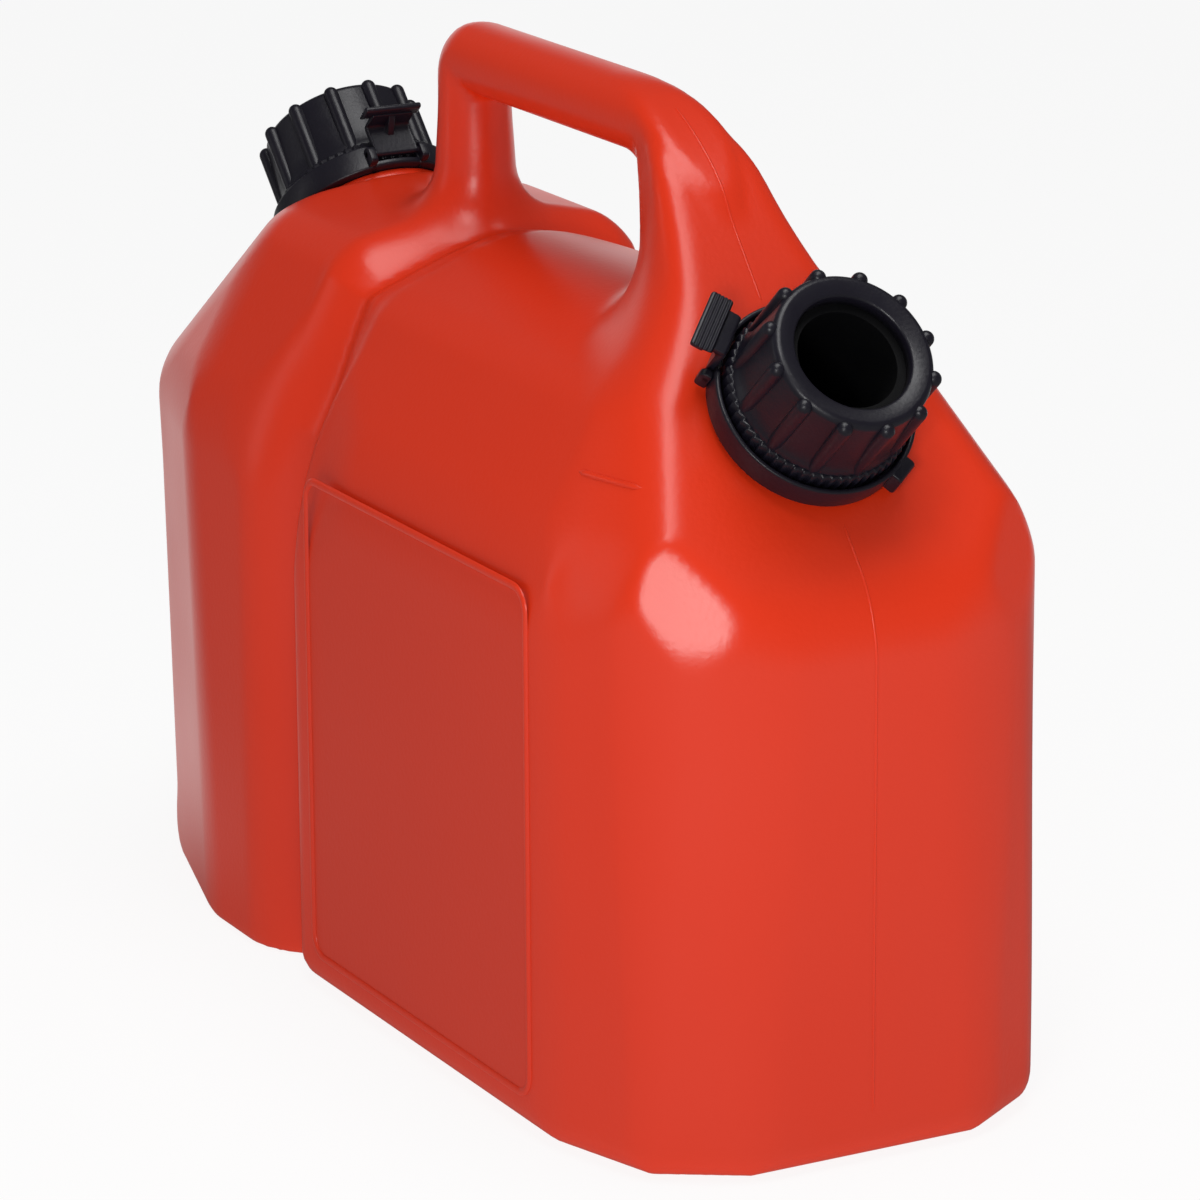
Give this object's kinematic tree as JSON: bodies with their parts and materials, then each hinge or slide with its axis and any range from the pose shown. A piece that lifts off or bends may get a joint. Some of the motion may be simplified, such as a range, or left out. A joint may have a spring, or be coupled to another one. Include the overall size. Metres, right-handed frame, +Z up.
{
  "type": "combination fuel can",
  "caption": "Blow-moulded can with a large front fuel chamber, a small rear oil chamber, a loop handle and a locking screw closure with a stored spout on each neck.",
  "frame": {"origin": "middle of the overall box, on the floor the can stands on", "axes": "+X to the fuel end, -X to the oil end, Y across the can, +Z up"},
  "size_m": [0.3847, 0.162, 0.307],
  "materials": {
    "can_red": "satin red-orange polyethylene",
    "closure_black": "satin black polyethylene",
    "cap_dark": "satin black polyethylene",
    "seal": "black fuel-proof rubber"
  },
  "bodies": {
    "can": {"can_body": "can_red", "fuel_lock_ring": "closure_black", "oil_lock_ring": "closure_black"},
    "fuel_spout": {"fuel_spout": "closure_black", "fuel_gasket": "seal"},
    "fuel_collar": {"fuel_collar": "closure_black"},
    "fuel_lever": {"fuel_lock_lever": "closure_black"},
    "fuel_tip_cap": {"fuel_tip_cap": "cap_dark"},
    "oil_spout": {"oil_spout": "closure_black", "oil_gasket": "seal"},
    "oil_collar": {"oil_collar": "closure_black"},
    "oil_lever": {"oil_lock_lever": "closure_black"},
    "oil_tip_cap": {"oil_tip_cap": "cap_dark"}
  },
  "joints": [
    {"name": "fuel_lift", "type": "slide", "parent": "can", "child": "fuel_spout", "axis": [0.7604, 0, 0.6494], "range_m": [0, 0.008]},
    {"name": "fuel_screw", "type": "hinge", "parent": "fuel_spout", "child": "fuel_collar", "pos_m": [0.16565, 0, 0.23822], "axis": [0.7604, 0, 0.6494], "range_deg": [0, 720]},
    {"name": "fuel_lock", "type": "hinge", "parent": "can", "child": "fuel_lever", "pos_m": [0.13758, -0.02444, 0.24122], "axis": [0.4975, -0.6428, -0.5825], "range_deg": [0, 8], "stiffness_Nm_per_rad": 0.6},
    {"name": "fuel_tip_pull", "type": "slide", "parent": "fuel_spout", "child": "fuel_tip_cap", "axis": [-0.7604, 0, -0.6494], "range_m": [0, 0.013]},
    {"name": "oil_lift", "type": "slide", "parent": "can", "child": "oil_spout", "axis": [-0.7009, 0, 0.7133], "range_m": [0, 0.008]},
    {"name": "oil_screw", "type": "hinge", "parent": "oil_spout", "child": "oil_collar", "pos_m": [-0.16072, 0, 0.24399], "axis": [-0.7009, 0, 0.7133], "range_deg": [0, 720]},
    {"name": "oil_lock", "type": "hinge", "parent": "can", "child": "oil_lever", "pos_m": [-0.12437, 0, 0.25251], "axis": [0, 1, 0], "range_deg": [0, 8], "stiffness_Nm_per_rad": 0.6},
    {"name": "oil_tip_pull", "type": "slide", "parent": "oil_spout", "child": "oil_tip_cap", "axis": [0.7009, 0, -0.7133], "range_m": [0, 0.013]}
  ],
  "couplings": [
    {"joint": "fuel_screw", "follows": "fuel_lift", "rad_per_m": 1570.8},
    {"joint": "oil_screw", "follows": "oil_lift", "rad_per_m": 1570.8}
  ]
}
